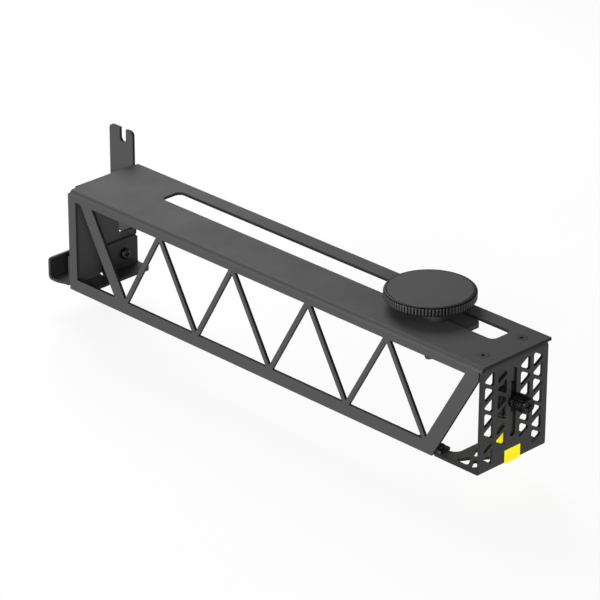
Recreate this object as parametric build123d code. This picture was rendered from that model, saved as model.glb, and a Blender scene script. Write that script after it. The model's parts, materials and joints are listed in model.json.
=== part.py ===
from build123d import *
from math import sqrt
import os

os.makedirs("parts", exist_ok=True)

# A support bracket for a graphics card, in millimetres: a folded truss beam that screws to the rear of
# a computer case, a puck that slides in its slot and screws up under the card, and a leg at the far end.
# The sizes below are measured from one corner: X runs along the beam from the outer face of its end
# plate, Y runs across it from the outer face of its truss wall, and Z goes up from its lowest edge.
# The finished pieces are then moved so that the origin is the point where the case's slot screw
# crosses the outer face of the tab.

# Beam: one folded sheet
beam_length = 262.0
beam_width = 43.5
beam_height = 50.9
beam_sheet = 1.4
bend_inner = 0.8
fold_gap = 0.2

# Truss wall
low_chord_height = 6.1
top_chord_height = 5.2
post_width = 5.1
first_node_x = 39.9
truss_bays = 4
truss_end_gap = 31.2
node_depth = 1.05
strut_width = 2.4
brace_width = 6.7
brace_offset = 2.5
end_bar_width = 7.1
end_bar_offset = 2.7
truss_corner = 1.0
foot_length = 17.0
foot_overhang = 3.9
foot_depth = 7.4

# Slot in the top plate
slot_start_x = 39.6
slot_end_gap = 15.6
slot_width = 11.8
slot_centre_y = 29.7
slot_corner = 3.0

# End plate with its corner relief, window and bottom flange
relief_x = 3.0
relief_y = 5.8
relief_drop = 8.8
plate_back_gap = 2.4
window_width = 9.8
window_bottom = 18.5
window_drop = 7.9
window_corner = 2.0
flange_reach = 11.6
flange_width = 18.9
flange_chamfer = 3.2
plate_bottom = 2.0

# Tab for the case's slot screw, folded down from the back edge of the top plate
tab_reach = 16.9
tab_top = 15.2
tab_bottom = 12.5
tab_proud = 0.7
tab_corner = 2.2
ear_start_x = 2.4
ear_width = 5.0
ear_drop = 12.0
tab_edge_x = -0.7
notch_width = 4.2
notch_depth = 6.9
notch_x = -7.5

# Hook on the outer side of the end plate and clamp plate on its inner side
hook_reach = 13.8
hook_height = 10.9
hook_leg_height = 14.9
hook_width = 40.0
hook_corner = 1.5
hook_cut_x = 7.9
hook_cut_depth = 1.6
clamp_start_y = 20.1
clamp_end_y = 41.7
clamp_height = 15.5
clamp_reach = 12.1
clamp_corner = 1.8
hook_screw_y = 33.2
hook_screw_z = 8.0

# Fasteners
m3_radius = 1.5
m3_hole = 1.7
pan_radius = 2.75
pan_height = 1.9
nut_width = 5.5
nut_height = 2.4
countersunk_radius = 2.9
drive_width = 0.8
drive_depth = 0.9
clinch_radius = 3.0
clinch_height = 1.6

# Perforated end bracket: one folded sheet
bracket_sheet = 1.4
bracket_face_step = 0.1
bracket_side_gap = 0.4
bracket_width = 41.4
bracket_lowest = 0.2
lock_y = 20.6
bracket_top_reach = 14.5
bracket_bottom_reach = 19.4
bracket_bend_inner = 0.3
bracket_screw_x = 8.6
bracket_screw_ys = (10.2, 34.2)
bracket_lift = 0.02
arm_width = 6.7
arm_reach = 31.0
arm_end_radius = 1.2
arm_fillet = 4.0
arm_screw_inset = 5.9
arm_screw_y = 3.8
arm_screw_radius = 1.0
arm_head_radius = 1.75
arm_head_height = 2.0

# Triangle perforation
hole_side = 7.54
hole_corner = 0.85
hole_corner_steps = 12
row_pitch = 6.11
top_row_drop = 7.15
outer_column = 15.1
inner_column = 7.15
outer_rows = 7
inner_rows = 6
flange_rows = 2
flange_row_reach = 6.3

# Clamping slot and foot notch in the end bracket
lock_slot_width = 3.4
lock_slot_length = 32.4
lock_slot_z = 28.5
foot_notch_width = 10.3
foot_notch_y = 21.1
foot_notch_height = 6.8

# Sliding leg with its foot, guide, nut and thumbscrew
leg_gap = 2.3
leg_sheet = 1.6
leg_width = 14.4
leg_top_drop = 3.6
leg_corner = 1.5
foot_height = 16.6
foot_wall = 1.2
toe_gap = 0.2
lock_z = 29.4
guide_length = 11.0
guide_height = 13.0
key_clear = 0.08
key_length = 4.0
leg_way_gap = 0.8
plate_clear = 0.05
knob_radius = 3.75
knob_length = 9.0
knob_flutes = 16
flute_radius = 0.45
knob_cross = 4.2
washer_radius = 3.4
washer_sheet = 0.5
shaft_clear = 0.08

# Carriage in the slot
carriage_end_gap = 57.6
carriage_length = 30.6
carriage_width = 22.4
carriage_height = 2.4
carriage_corner = 3.2
glide_sheet = 0.3
slide_clear = 0.08
guide_block_length = 26.0
clamp_bar_length = 50.0
clamp_bar_width = 16.0
clamp_bar_height = 2.0
clamp_bar_taper = 4.0
carriage_screw_x = 9.5
carriage_screw_radius = 1.25
insert_radius = 3.2
insert_length = 7.0
insert_flange = 4.2
insert_flange_height = 0.8

# Lifting puck
puck_radius = 20.4
puck_height = 4.2
puck_base = 3.6
puck_flutes = 84
puck_flute_depth = 0.4
puck_chamfer = 0.5
stud_radius = 2.0
stud_end = 25.4
stud_clear = 0.08
stud_seat = 1.0
pad_radius = 18.7
pad_sheet = 0.9
pad_disc_sheet = 0.8
pad_proud = 0.3
pivot_radius = 3.0
pivot_length = 1.6
pivot_clear = 0.06

# Places worked out from the sizes above
bend_outer = bend_inner + beam_sheet
top_under = beam_height - beam_sheet
wall_start_x = beam_sheet + fold_gap
node_low = low_chord_height - node_depth
node_high = beam_height - top_chord_height + node_depth
truss_pitch = (beam_length - truss_end_gap - first_node_x) / truss_bays
strut_run = truss_pitch / 2
slot_length = beam_length - slot_end_gap - slot_start_x
carriage_x = beam_length - carriage_end_gap
leg_top = beam_height - leg_top_drop
last_node_x = first_node_x + truss_bays * truss_pitch
bracket_outer_x = beam_length - bracket_face_step
bracket_inner_x = bracket_outer_x - bracket_sheet
wall_end_x = bracket_inner_x - fold_gap
bracket_floor_top = bracket_lowest + bracket_sheet
bracket_top = top_under - bracket_lift
leg_outer_x = bracket_inner_x - leg_gap
leg_inner_x = leg_outer_x - leg_sheet
puck_under = beam_height + puck_base
puck_top = puck_under + puck_height
slot_screw_y = beam_width + tab_proud
slot_screw_z = beam_height + tab_top - notch_depth + notch_width / 2
glide_top = beam_height + glide_sheet
carriage_top = glide_top + carriage_height


def box(x0, x1, y0, y1, z0, z1):
    """A block between two corners."""
    return Pos((x0 + x1) / 2, (y0 + y1) / 2, (z0 + z1) / 2) * Box(x1 - x0, y1 - y0, z1 - z0)


def rod(x, y, z, radius, length, direction="z"):
    """A round bar that starts at a point and runs along +X or +Z."""
    turn = Rot(0, 90, 0) if direction == "x" else Rot(0, 0, 0)
    bar = Cylinder(radius, length, align=(Align.CENTER, Align.CENTER, Align.MIN))
    return Pos(x, y, z) * turn * bar


def bend(inner, outer, length):
    """A quarter of a tube along +X: it joins a wall at its -Y side to a plate on top."""
    ring = Circle(outer) - Circle(inner)
    quarter = ring & Pos(-outer / 2, outer / 2) * Rectangle(outer, outer)
    return extrude(Plane.YZ * quarter, length)


def strip(x0, z0, x1, z1, width):
    """A straight bar of the truss, as an outline in the XZ plane that runs past both its ends."""
    run, rise = x1 - x0, z1 - z0
    length = sqrt(run * run + rise * rise)
    side_x, side_z = rise / length * width / 2, -run / length * width / 2
    over_x, over_z = run * 0.2, rise * 0.2
    corners = [
        (x0 - over_x + side_x, z0 - over_z + side_z),
        (x1 + over_x + side_x, z1 + over_z + side_z),
        (x1 + over_x - side_x, z1 + over_z - side_z),
        (x0 - over_x - side_x, z0 - over_z - side_z),
    ]
    return make_face(Polyline(*corners, close=True))


def end_bar_edge(height, side):
    """X of the slanted end bar's edge at a height: side is -1 for the inner edge, 1 for the outer."""
    rise = node_high - node_low
    half = end_bar_width / 2 * sqrt(strut_run ** 2 + rise ** 2) / rise
    return last_node_x + end_bar_offset + (height - node_low) / rise * strut_run + side * half


def truss_holes():
    """The openings between the chords, the post, the struts and the slanted end bar."""
    low, high = low_chord_height, beam_height - top_chord_height
    panel = make_face(Polyline(
        (wall_start_x + post_width, low), (end_bar_edge(low, -1), low),
        (end_bar_edge(high, -1), high), (wall_start_x + post_width, high), close=True))
    brace_foot = first_node_x - brace_offset
    panel -= strip(brace_foot, node_low, brace_foot - strut_run, node_high, brace_width)
    for bay in range(truss_bays):
        x = first_node_x + bay * truss_pitch
        panel -= strip(x, node_low, x + strut_run, node_high, strut_width)
        panel -= strip(x + truss_pitch, node_low, x + strut_run, node_high, strut_width)
    rounded = Sketch()
    for face in panel.faces():
        if face.area > strut_width ** 2:
            rounded += fillet(face.vertices(), truss_corner)
    return extrude(Plane.XZ * rounded, beam_sheet * 4, both=True)


def truss_wall():
    """The wall below the front bend, cut to the slanted end bar."""
    high = beam_height - bend_outer
    limit = min(end_bar_edge(high, 1), wall_end_x)
    height_at_limit = min(high, node_low + (limit - end_bar_edge(node_low, 1))
                          / strut_run * (node_high - node_low))
    corners = [(wall_start_x, 0), (end_bar_edge(0, 1), 0), (limit, height_at_limit)]
    if height_at_limit < high:
        corners.append((limit, high))
    corners.append((wall_start_x, high))
    face = make_face(Polyline(*corners, close=True))
    return extrude(Plane.XZ * face, -beam_sheet)


def tab_plate():
    """The tab with its screw notch, and the ear that folds it down from the top plate."""
    outer_y = beam_width + tab_proud
    low = beam_height - bend_outer
    top = beam_height + tab_top
    outline = make_face(Polyline(
        (-tab_reach, tab_bottom), (tab_edge_x, tab_bottom), (tab_edge_x, beam_height - ear_drop),
        (ear_start_x + ear_width, beam_height - ear_drop), (ear_start_x + ear_width, low),
        (ear_start_x, low), (ear_start_x, low - beam_sheet), (tab_edge_x, low - beam_sheet),
        (tab_edge_x, top), (-tab_reach, top), close=True))
    ends = [v for v in outline.vertices() if abs(v.X - tab_edge_x) < 1e-6 or v.X < 1 - tab_reach]
    ends = [v for v in ends if v.Y > top - 1 or v.Y < tab_bottom + 1]
    outline = fillet(ends, tab_corner)
    radius = notch_width / 2
    outline -= Pos(notch_x, top - notch_depth + radius) * Circle(radius)
    outline -= Pos(notch_x, top) * Rectangle(notch_width, (notch_depth - radius) * 2)
    plate = Pos(0, outer_y, 0) * extrude(Plane.XZ * outline, beam_sheet)
    fold = Pos(0, outer_y - bend_outer, low) * Rot(0, 0, 180) * Pos(-ear_start_x - ear_width, 0, 0)
    fold = fold * bend(bend_inner, bend_outer, ear_width)
    tongue = box(ear_start_x, ear_start_x + ear_width, beam_width - bend_outer - 1,
                 outer_y - bend_outer, top_under, beam_height)
    return plate + fold + tongue


def end_plate():
    """The plate against the case, its window, and the flange folded in along its bottom."""
    low = beam_height - bend_outer
    back = beam_width - plate_back_gap
    plate = box(0, beam_sheet, wall_start_x, back, bend_outer, low)
    plate -= box(-1, bend_outer, back - window_width, back + 1, window_bottom, beam_height - window_drop)
    plate -= box(-1, bend_outer, -1, relief_y, beam_height - relief_drop, beam_height)
    corners = plate.edges().filter_by(Axis.X).filter_by(
        lambda e: abs(e.center().Y - back + window_width) < 0.01)
    plate = fillet(corners, window_corner)
    plate += box(0, beam_sheet, clamp_start_y, back, plate_bottom, bend_outer + 1)
    flange_y = wall_start_x
    top_fold = Pos(bend_outer, back, low) * Rot(0, 0, -90) * bend(bend_inner, bend_outer, back - relief_y)
    low_fold = Pos(bend_outer, flange_y, bend_outer) * Rot(0, 0, 90) * Rot(180, 0, 0)
    low_fold = low_fold * bend(bend_inner, bend_outer, flange_width - flange_y)
    flange = box(bend_outer, flange_reach, flange_y, flange_width, 0, beam_sheet)
    corner = flange.edges().filter_by(Axis.Z).sort_by(lambda e: -e.center().X - e.center().Y)[0]
    flange = chamfer(corner, flange_chamfer)
    return plate + top_fold + low_fold + flange


def make_beam():
    low = beam_height - bend_outer
    back = beam_width
    top = box(bend_outer, beam_length, bend_outer, back, top_under, beam_height)
    front_fold = Pos(wall_start_x, bend_outer, low) * bend(bend_inner, bend_outer, beam_length - wall_start_x)
    foot_end = end_bar_edge(0, 1) + foot_overhang
    foot = box(foot_end - foot_length, foot_end, 0, foot_depth,
               bracket_floor_top, bracket_floor_top + beam_sheet)
    foot -= box(end_bar_edge(bracket_floor_top, 1), foot_end + 1, -1, beam_sheet, 0, foot_depth)
    beam = top + front_fold + truss_wall() + foot
    beam -= box(-1, relief_x, -1, relief_y, low, beam_height + 1)
    beam = beam + end_plate() + tab_plate()
    beam -= truss_holes()
    slot = box(slot_start_x, slot_start_x + slot_length, slot_centre_y - slot_width / 2,
               slot_centre_y + slot_width / 2, top_under - 1, beam_height + 1)
    beam -= fillet(slot.edges().filter_by(Axis.Z), slot_corner)
    for y in bracket_screw_ys:
        beam -= countersink(beam_length - bracket_screw_x, y)
    beam -= rod(-1, hook_screw_y, hook_screw_z, m3_hole, bend_outer + 1, "x")
    beam -= rod(arm_screw_place()[0], arm_screw_place()[1], 0, arm_screw_radius + 0.1, foot_depth)
    return beam


def countersink(x, y):
    """The hole for a countersunk screw in the top plate."""
    hole = rod(x, y, top_under - 1, m3_hole, beam_sheet + 2)
    depth = countersunk_radius - m3_hole
    cone = Cone(m3_hole, countersunk_radius, depth, align=(Align.CENTER, Align.CENTER, Align.MAX))
    return hole + Pos(x, y, beam_height) * cone


def arm_screw_place():
    return bracket_outer_x - arm_reach + arm_screw_inset, arm_screw_y


def folded_channel(inner_x, outer_x, leg_top, lip_top, y0, y1, sheet, inner_radius):
    """A sheet folded twice: a leg at inner_x, a floor, and a lip at outer_x, open at the top."""
    outer_radius = inner_radius + sheet
    leg = box(inner_x - sheet, inner_x, y0, y1, outer_radius, leg_top)
    lip = box(outer_x, outer_x + sheet, y0, y1, outer_radius, lip_top)
    floor = box(outer_x + outer_radius, inner_x - outer_radius, y0, y1, 0, sheet)
    left = Pos(outer_x + outer_radius, y0, outer_radius) * Rot(0, 0, 90) * Rot(180, 0, 0)
    left = left * bend(inner_radius, outer_radius, y1 - y0)
    right = Pos(inner_x - outer_radius, y1, outer_radius) * Rot(0, 0, -90) * Rot(180, 0, 0)
    right = right * bend(inner_radius, outer_radius, y1 - y0)
    return leg + lip + floor + left + right


def make_hook():
    """The channel that hooks over the case's slot rail."""
    hook = folded_channel(0, -hook_reach, hook_leg_height, hook_height, 0, hook_width, beam_sheet, bend_inner)
    tall = hook.edges().filter_by(Axis.X).filter_by(
        lambda e: e.center().Z > hook_height - 0.01 and e.length < beam_sheet + 0.01)
    hook = fillet(tall, hook_corner)
    cut = make_face(Polyline((-hook_cut_x, -1), (-hook_cut_x, 0), (-hook_cut_x + 4.5, hook_cut_depth),
                             (1, hook_cut_depth), (1, -1), close=True))
    hook -= extrude(cut, hook_leg_height + 1)
    hook -= rod(-bend_outer, hook_screw_y, hook_screw_z, m3_hole, bend_outer + 1, "x")
    return hook


def make_clamp_plate():
    """The angle on the inner side of the end plate."""
    x0 = beam_sheet
    plate = box(x0, x0 + beam_sheet, clamp_start_y, clamp_end_y, bend_outer, clamp_height)
    fold = Pos(x0 + bend_outer, clamp_start_y, bend_outer) * Rot(0, 0, 90) * Rot(180, 0, 0)
    fold = fold * bend(bend_inner, bend_outer, clamp_end_y - clamp_start_y)
    floor = box(x0 + bend_outer, clamp_reach, clamp_start_y, clamp_end_y, 0, beam_sheet)
    corner = floor.edges().filter_by(Axis.Z).sort_by(lambda e: -e.center().X - e.center().Y)[0]
    floor = chamfer(corner, flange_chamfer / 2)
    angle = plate + fold + floor
    tall = angle.edges().filter_by(Axis.X).filter_by(lambda e: e.center().Z > clamp_height - 0.01)
    angle = fillet(tall, clamp_corner)
    return angle - rod(x0 - 1, hook_screw_y, hook_screw_z, m3_hole, beam_sheet + 2, "x")


def cross_recess(radius, depth):
    """A cross drive cut down from Z=0."""
    bars = Box(radius * 2, drive_width, depth * 2) + Box(drive_width, radius * 2, depth * 2)
    return bars


def pan_screw(shank_radius, shank, head_radius, head):
    """A pan-head screw with its head above Z=0 and its shank below."""
    cap = Pos(0, 0, head / 2) * Cylinder(head_radius, head)
    cap = chamfer(cap.edges().group_by(Axis.Z)[-1], head * 0.35)
    cap -= Pos(0, 0, head) * cross_recess(head_radius * 0.6, head * 0.5)
    return cap + Pos(0, 0, -shank / 2) * Cylinder(shank_radius, shank)


def hex_nut(width, height, bore):
    """A nut that stands on Z=0."""
    body = extrude(RegularPolygon(width / 2, 6, major_radius=False), height)
    body &= Pos(0, 0, height / 2) * Cylinder(width * 0.56, height)
    return body - Cylinder(bore, height * 3)


def make_hook_screw():
    length = beam_sheet * 3 + nut_height + 0.6
    screw = pan_screw(m3_radius, length, pan_radius, pan_height)
    return Pos(beam_sheet * 2, hook_screw_y, hook_screw_z) * Rot(0, 90, 0) * screw


def make_hook_nut():
    nut = hex_nut(nut_width, nut_height, m3_radius + shaft_clear)
    return Pos(-beam_sheet, hook_screw_y, hook_screw_z) * Rot(0, -90, 0) * nut


def triangle_hole(points_right):
    """One perforation: a triangle that points along +X or -X, the hull of three small corner rounds."""
    sign = 1 if points_right else -1
    height = hole_side * sqrt(3) / 2
    centroid = Pos(-sign * (height / 6 - hole_corner / 2), 0) * Rot(0, 0, 0 if points_right else 180)
    reach = hole_side / sqrt(3) - 2 * hole_corner
    rounds = Sketch() + [centroid * place * RegularPolygon(hole_corner, hole_corner_steps)
                         for place in PolarLocations(reach, 3)]
    return make_hull(rounds.edges())


def perforation(columns, rows, first_row):
    """Columns of triangles that turn about from each row and each column to the next."""
    pointing = [triangle_hole(False), triangle_hole(True)]
    return Sketch() + [Pos(offset, -row * row_pitch) * pointing[(column + row + first_row) % 2]
                       for column, offset in enumerate(columns)
                       for row in range(rows[column])]


def make_end_bracket():
    radius = bracket_bend_inner
    outer = radius + bracket_sheet
    y0, y1 = bracket_side_gap, bracket_side_gap + bracket_width
    xi, xo = bracket_inner_x, bracket_outer_x
    plate = box(xi, xo, y0, y1, bracket_lowest + outer, bracket_top - outer)
    top_y0 = bend_outer + fold_gap
    top = box(xo - bracket_top_reach, xo - outer, top_y0, y1, bracket_top - bracket_sheet, bracket_top)
    top_fold = Pos(xo - outer, y0, bracket_top - outer) * Rot(0, 0, 90) * bend(radius, outer, bracket_width)
    floor = box(xo - bracket_bottom_reach, xo - outer, y0, y1, bracket_lowest, bracket_floor_top)
    low_fold = Pos(xo - outer, y1, bracket_lowest + outer) * Rot(0, 0, -90) * Rot(180, 0, 0)
    low_fold = low_fold * bend(radius, outer, bracket_width)
    arm = box(xo - arm_reach, xo - bracket_bottom_reach, y0, arm_width, bracket_lowest, bracket_floor_top)
    arm_end = arm.edges().filter_by(Axis.Z).group_by(Axis.X)[0]
    arm = fillet(arm_end, arm_end_radius)
    arm -= box(xo - arm_reach - 1, end_bar_edge(bracket_floor_top, 1) + fold_gap, -1, wall_start_x,
               -1, bracket_floor_top + 1)
    bracket = plate + top + top_fold + floor + low_fold + arm
    bracket -= box(xi - outer, xo + 1, -1, top_y0, beam_height - bend_outer - fold_gap, beam_height)
    inner = bracket.edges().filter_by(Axis.Z).filter_by(
        lambda e: abs(e.center().X - xo + bracket_bottom_reach) < 0.01 and abs(e.center().Y - arm_width) < 0.01)
    bracket = fillet(inner, arm_fillet)
    columns = [-outer_column, -inner_column, inner_column, outer_column]
    rows = [outer_rows, inner_rows, inner_rows, outer_rows]
    holes = perforation(columns, rows, 0)
    face_plane = Plane(origin=(xo, lock_y, beam_height - top_row_drop),
                       x_dir=(0, 1, 0), z_dir=(1, 0, 0))
    bracket -= extrude(face_plane * holes, bracket_sheet * 2, both=True)
    floor_plane = Plane(origin=(xo - flange_row_reach, lock_y, 0), x_dir=(0, 1, 0), z_dir=(0, 0, -1))
    floor_holes = perforation(columns, [flange_rows] * 4, outer_rows + 1)
    bracket -= extrude(floor_plane * floor_holes, bracket_sheet * 2, both=True)
    bracket -= lock_slot()
    notch = box(xi - leg_gap - leg_sheet - foot_wall - 1, xo + 1, foot_notch_y - foot_notch_width / 2,
                foot_notch_y + foot_notch_width / 2, -1, foot_notch_height)
    leg_way = box(xi - leg_gap - leg_sheet - foot_wall - 1, xi, lock_y - leg_width / 2 - leg_way_gap,
                  lock_y + leg_width / 2 + leg_way_gap, -1, bracket_floor_top + radius)
    bracket -= notch + leg_way
    for y in bracket_screw_ys:
        bracket -= rod(beam_length - bracket_screw_x, y, bracket_top - 2, m3_hole, 3)
    x, y = arm_screw_place()
    return bracket - rod(x, y, -1, arm_screw_radius + 0.05, 3)


def lock_slot():
    """The slot that the thumbscrew runs up and down in."""
    shape = Rot(0, 0, 90) * SlotOverall(lock_slot_length, lock_slot_width)
    plane = Plane(origin=(bracket_outer_x, lock_y, lock_slot_z), x_dir=(0, 1, 0), z_dir=(1, 0, 0))
    return extrude(plane * shape, bracket_sheet * 2, both=True)


def countersunk_screw():
    """A countersunk screw with its flat head's top at Z=0."""
    cone_height = countersunk_radius - m3_radius
    length = beam_sheet + bracket_sheet + bracket_lift + clinch_height
    rim = Cone(m3_radius - 0.05, countersunk_radius - 0.05, cone_height,
               align=(Align.CENTER, Align.CENTER, Align.MAX))
    body = rim + Cylinder(m3_radius, length, align=(Align.CENTER, Align.CENTER, Align.MAX))
    socket = extrude(RegularPolygon(1.0, 6), -drive_depth)
    return body - socket


def make_bracket_screws():
    x = beam_length - bracket_screw_x
    return Compound([Pos(x, y, beam_height) * countersunk_screw() for y in bracket_screw_ys])


def make_clinch_nuts():
    x = beam_length - bracket_screw_x
    top = bracket_top - bracket_sheet
    nut = Cylinder(clinch_radius, clinch_height, align=(Align.CENTER, Align.CENTER, Align.MAX))
    nut = chamfer(nut.edges().group_by(Axis.Z)[0], 0.3)
    nut -= Cylinder(m3_radius + shaft_clear, clinch_height * 3)
    return Compound([Pos(x, y, top) * nut for y in bracket_screw_ys])


def make_arm_screw():
    x, y = arm_screw_place()
    screw = pan_screw(arm_screw_radius, beam_sheet + bracket_sheet * 0.8, arm_head_radius, arm_head_height)
    return Pos(x, y, bracket_floor_top + beam_sheet) * screw


def make_leg():
    """The flat strip behind the end bracket, with its hole for the thumbscrew."""
    y0, y1 = lock_y - leg_width / 2, lock_y + leg_width / 2
    strap = box(leg_inner_x, leg_outer_x, y0, y1, bracket_lowest + foot_wall, leg_top)
    strap = fillet(strap.edges().filter_by(Axis.X).group_by(Axis.Z)[-1], leg_corner)
    return strap - rod(leg_inner_x - 1, lock_y, lock_z, m3_hole, leg_sheet + 2, "x")


def make_foot():
    """The coloured shoe around the leg's lower end, with a toe that stands in the bracket's notch."""
    y0, y1 = lock_y - leg_width / 2, lock_y + leg_width / 2
    side = 0.5
    shoe = box(leg_inner_x - foot_wall, leg_outer_x + foot_wall, y0 - side, y1 + side,
               bracket_lowest, foot_height)
    shoe = fillet(shoe.edges().filter_by(Axis.Z), side)
    half = foot_notch_width / 2 - toe_gap
    toe = box(leg_outer_x, bracket_outer_x, foot_notch_y - half, foot_notch_y + half,
              bracket_lowest, foot_notch_height - toe_gap)
    toe = fillet(toe.edges().filter_by(Axis.Z).group_by(Axis.X)[-1], side)
    socket = box(leg_inner_x, leg_outer_x, y0, y1, bracket_lowest + foot_wall, foot_height + 1)
    return shoe + toe - socket


def make_guide():
    """The spacer between leg and bracket, with a key that keeps the leg upright in the slot."""
    half = guide_length / 2
    block = box(leg_outer_x, bracket_inner_x - plate_clear, lock_y - half, lock_y + half,
                lock_z - guide_height / 2, lock_z + guide_height / 2)
    block = fillet(block.edges().filter_by(Axis.X), 1.0)
    key_half = lock_slot_width / 2 - key_clear
    key = Rot(0, 0, 90) * SlotOverall(key_length, key_half * 2)
    plane = Plane(origin=(bracket_inner_x - 1, lock_y, lock_z), x_dir=(0, 1, 0), z_dir=(1, 0, 0))
    key = extrude(plane * key, bracket_sheet + 0.9)
    return block + key - rod(leg_outer_x - 1, lock_y, lock_z, m3_radius + shaft_clear, 9, "x")


def make_leg_nut():
    nut = hex_nut(nut_width, nut_height, m3_radius + shaft_clear)
    return Pos(leg_inner_x, lock_y, lock_z) * Rot(0, -90, 0) * nut


def make_washer():
    disc = Cylinder(washer_radius, washer_sheet) - Cylinder(m3_radius + shaft_clear, washer_sheet * 3)
    x = bracket_outer_x + plate_clear + washer_sheet / 2
    return Pos(x, lock_y, lock_z) * Rot(0, 90, 0) * disc


def make_thumbscrew():
    """The fluted knob with a cross recess, and its threaded shaft."""
    start = bracket_outer_x + plate_clear + washer_sheet + plate_clear
    length = knob_length - (start - bracket_outer_x)
    knob = Cylinder(knob_radius, length, align=(Align.CENTER, Align.CENTER, Align.MIN))
    knob = chamfer(knob.edges().filter_by(GeomType.CIRCLE), 0.5)
    flutes = Sketch()
    for place in PolarLocations(knob_radius + flute_radius * 0.3, knob_flutes):
        flutes += place * Circle(flute_radius)
    knob -= Pos(0, 0, 1.2) * extrude(flutes, length - 2.4)
    knob -= Pos(0, 0, length) * cross_recess(knob_cross / 2, drive_depth)
    shank = start - leg_inner_x + nut_height + 0.8
    knob += Pos(0, 0, -shank) * Cylinder(m3_radius, shank, align=(Align.CENTER, Align.CENTER, Align.MIN))
    return Pos(start, lock_y, lock_z) * Rot(0, 90, 0) * knob


def rounded_block(x, y, length, width, z0, z1, corner):
    """An upright block with rounded corners, centred on a point."""
    block = box(x - length / 2, x + length / 2, y - width / 2, y + width / 2, z0, z1)
    return fillet(block.edges().filter_by(Axis.Z), corner)


def carriage_bores(shape, screw_radius):
    """Cut the insert's hole and the two screw holes through a carriage piece."""
    shape -= rod(carriage_x, slot_centre_y, 0, insert_radius, beam_height * 2)
    for sign in (-1, 1):
        shape -= rod(carriage_x + sign * carriage_screw_x, slot_centre_y, 0, screw_radius, beam_height * 2)
    return shape


def make_glide():
    """The thin plastic sheet that the carriage slides on."""
    sheet = rounded_block(carriage_x, slot_centre_y, carriage_length, carriage_width,
                          beam_height + plate_clear, glide_top, carriage_corner)
    guide = rounded_block(carriage_x, slot_centre_y, guide_block_length, slot_width,
                          beam_height - 1, glide_top + 1, slot_corner)
    return sheet - guide


def make_carriage():
    """The block on top of the beam, with the guide under it that fills the slot."""
    block = rounded_block(carriage_x, slot_centre_y, carriage_length, carriage_width,
                          glide_top, carriage_top, carriage_corner)
    block = chamfer(block.edges().group_by(Axis.Z)[-1], 0.5)
    guide = rounded_block(carriage_x, slot_centre_y, guide_block_length, slot_width - slide_clear * 2,
                          top_under - plate_clear * 2, glide_top + 1, slot_corner)
    return carriage_bores(block + guide, carriage_screw_radius + 0.1)


def make_clamp_bar():
    """The bar below the top plate that holds the carriage down, tapered at both ends."""
    z1 = top_under - plate_clear * 2
    half, side, tip = clamp_bar_length / 2, clamp_bar_width / 2, clamp_bar_width / 2 - clamp_bar_taper
    outline = make_face(Polyline(
        (-half, -tip), (-half + clamp_bar_taper, -side), (half - clamp_bar_taper, -side), (half, -tip),
        (half, tip), (half - clamp_bar_taper, side), (-half + clamp_bar_taper, side), (-half, tip), close=True))
    outline = fillet(outline.vertices(), 0.8)
    bar = Pos(carriage_x, slot_centre_y, z1 - clamp_bar_height) * extrude(outline, clamp_bar_height)
    return carriage_bores(bar, carriage_screw_radius - 0.05 + 0.1)


def make_carriage_screws():
    """Two small screws that come up from below and hold the bar to the carriage."""
    low = top_under - plate_clear * 2 - clamp_bar_height
    length = carriage_top - low - 0.6
    screw = pan_screw(carriage_screw_radius, length, carriage_screw_radius * 1.9, 1.5)
    places = [Pos(carriage_x + sign * carriage_screw_x, slot_centre_y, low) for sign in (-1, 1)]
    return Compound([place * Rot(180, 0, 0) * screw for place in places])


def make_insert():
    """The threaded bush that carries the stud."""
    low = carriage_top - insert_length
    body = rod(carriage_x, slot_centre_y, low, insert_radius, insert_length)
    body += rod(carriage_x, slot_centre_y, carriage_top, insert_flange, insert_flange_height)
    return body - rod(carriage_x, slot_centre_y, low - 1, stud_radius + stud_clear, insert_length * 2)


def make_stud():
    """The threaded stud, from the puck down through the carriage."""
    low = beam_height - stud_end
    stud = rod(0, 0, low, stud_radius, puck_under + stud_seat - low)
    stud = chamfer(stud.edges().filter_by(GeomType.CIRCLE).group_by(Axis.Z)[0], 0.5)
    return Pos(carriage_x, slot_centre_y, 0) * stud


def make_puck():
    """The knurled disc with the recess for its pad and the bore for the pad's pivot."""
    low_rim = Cone(puck_radius - puck_chamfer, puck_radius - puck_flute_depth, puck_chamfer,
                   align=(Align.CENTER, Align.CENTER, Align.MIN))
    ridges = [Vector(puck_radius - puck_flute_depth * (tooth % 2), 0).rotate(Axis.Z, 180 * tooth / puck_flutes)
              for tooth in range(puck_flutes * 2)]
    knurl = extrude(make_face(Polyline(*ridges, close=True)), puck_height - puck_chamfer * 2)
    disc = low_rim + Pos(0, 0, puck_chamfer) * knurl
    disc += Pos(0, 0, puck_height) * Rot(180, 0, 0) * low_rim
    recess = pad_sheet + pad_disc_sheet - pad_proud
    disc -= Pos(0, 0, puck_height - recess) * Cylinder(
        pad_radius + pivot_clear * 2, recess + 1, align=(Align.CENTER, Align.CENTER, Align.MIN))
    disc -= Pos(0, 0, puck_height - recess - pivot_length - 0.1) * Cylinder(
        pivot_radius + pivot_clear, recess + 5, align=(Align.CENTER, Align.CENTER, Align.MIN))
    disc -= Cylinder(stud_radius, 4.0)
    return Pos(carriage_x, slot_centre_y, puck_under) * disc


def make_pad_plate():
    """The disc under the pad, with the pivot that lets it stay still while the puck turns."""
    low = puck_top + pad_proud - pad_sheet - pad_disc_sheet
    plate = rod(carriage_x, slot_centre_y, low + plate_clear, pad_radius, pad_disc_sheet - plate_clear)
    return plate + rod(carriage_x, slot_centre_y, low - pivot_length, pivot_radius, pivot_length + 0.5)


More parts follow.
